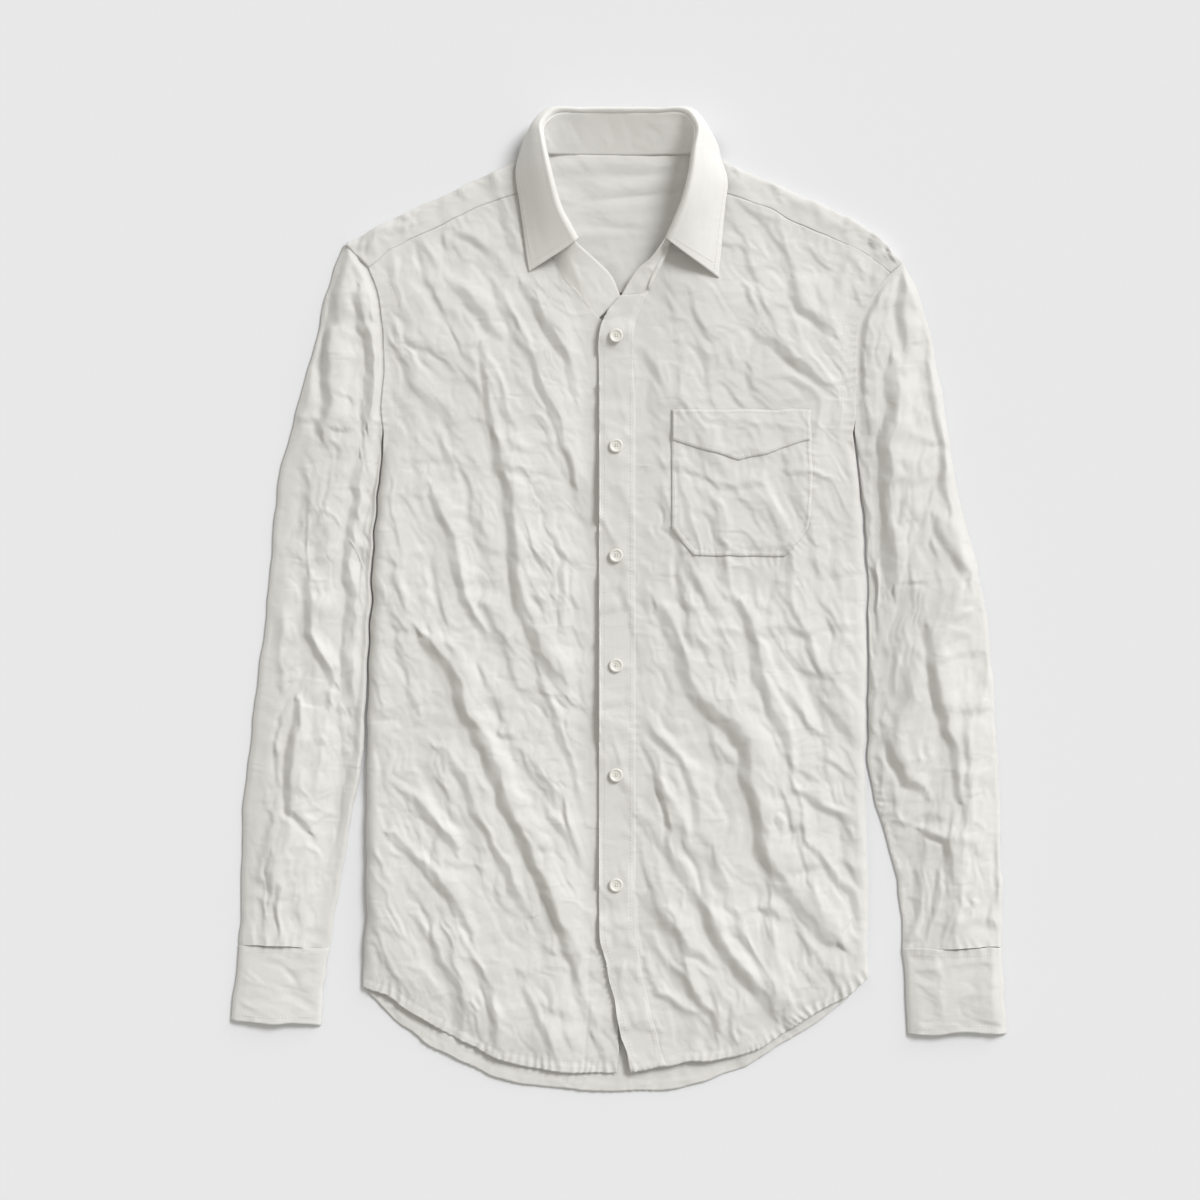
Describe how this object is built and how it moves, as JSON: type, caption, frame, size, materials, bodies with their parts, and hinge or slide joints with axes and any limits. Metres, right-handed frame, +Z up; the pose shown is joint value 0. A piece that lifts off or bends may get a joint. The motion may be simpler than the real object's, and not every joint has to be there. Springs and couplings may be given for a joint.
{
  "type": "crumpled shirt",
  "caption": "Long-sleeved button shirt in creased off-white cotton with a turned-down collar and a chest pocket, buttoned and laid out flat on its back.",
  "frame": {"origin": "on the surface the shirt lies on, under the middle of its outline", "axes": "+X towards the wearer's left sleeve, +Y from hem to collar, +Z up from the surface through the back to the front"},
  "size_m": [0.6528, 0.8263, 0.039],
  "materials": {
    "shirting": "washed off-white cotton shirting, matt",
    "buttons": "off-white pearl shirt buttons, satin"
  },
  "bodies": {
    "root": {"back": "shirting", "yoke": "shirting", "front_left": "shirting", "front_right": "shirting", "placket": "shirting", "sleeve_left": "shirting", "sleeve_right": "shirting", "cuff_left": "shirting", "cuff_right": "shirting", "collar_stand": "shirting", "collar_leaf": "shirting", "pocket": "shirting", "pocket_band": "shirting", "button_1": "buttons", "button_2": "buttons", "button_3": "buttons", "button_4": "buttons", "button_5": "buttons", "button_6": "buttons"}
  },
  "joints": []
}
